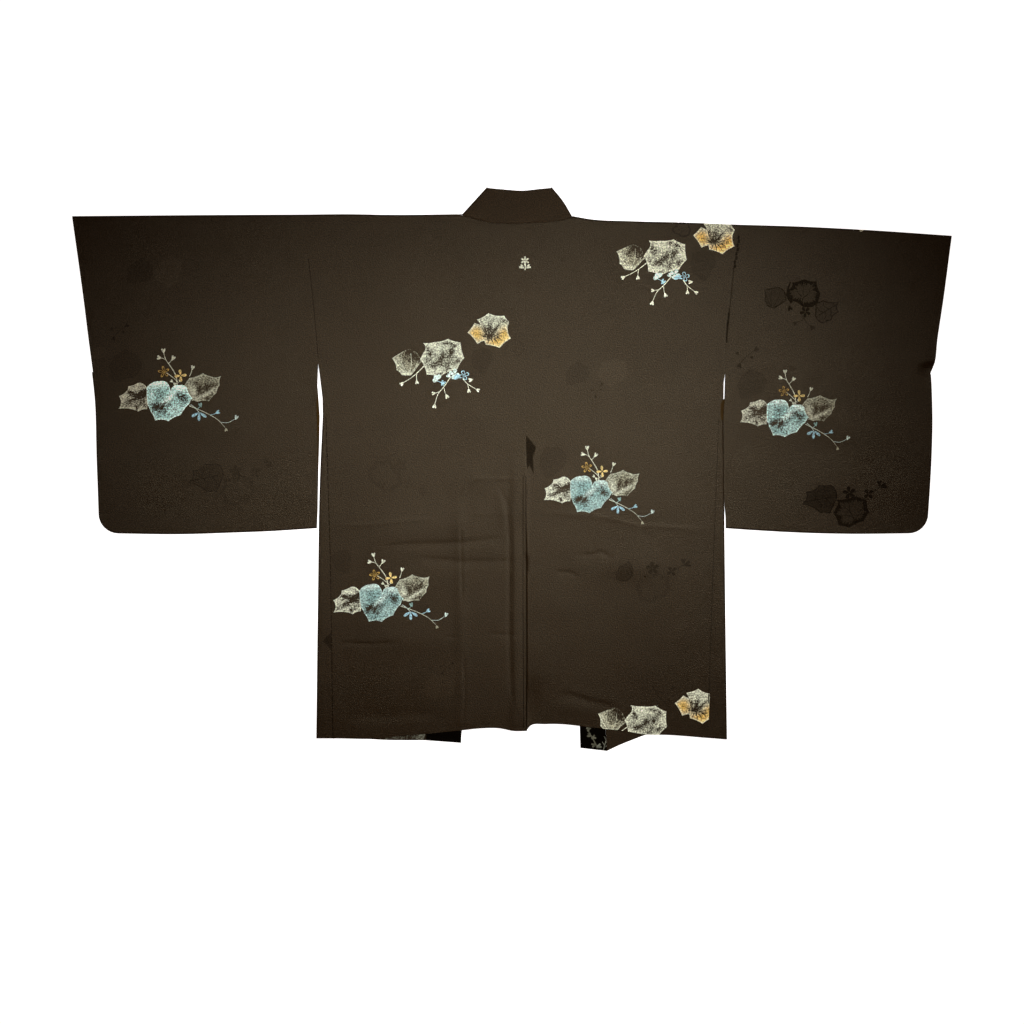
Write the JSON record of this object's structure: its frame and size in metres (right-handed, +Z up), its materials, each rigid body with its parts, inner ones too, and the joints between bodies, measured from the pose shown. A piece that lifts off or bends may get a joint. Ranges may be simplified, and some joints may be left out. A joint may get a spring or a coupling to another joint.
{
  "type": "haori jacket",
  "caption": "Hip-length open-front kimono jacket with square sleeves and a narrow stand-up collar, laid flat with its back up.",
  "frame": {"origin": "middle of the jacket's box, on the surface that it lies on", "axes": "+Z up out of the jacket's back, +Y from the hem to the neck, +X from the wearer's left sleeve to the right one"},
  "size_m": [1.3185, 0.8454, 0.0062],
  "materials": {
    "panel_silk": "soft crepe silk with a faint sheen",
    "collar_silk": "soft crepe silk with a faint sheen"
  },
  "bodies": {
    "root": {"body_left": "panel_silk", "body_right": "panel_silk", "sleeve_left": "panel_silk", "sleeve_right": "panel_silk", "gusset_left": "panel_silk", "gusset_right": "panel_silk", "collar": "collar_silk"}
  },
  "joints": []
}
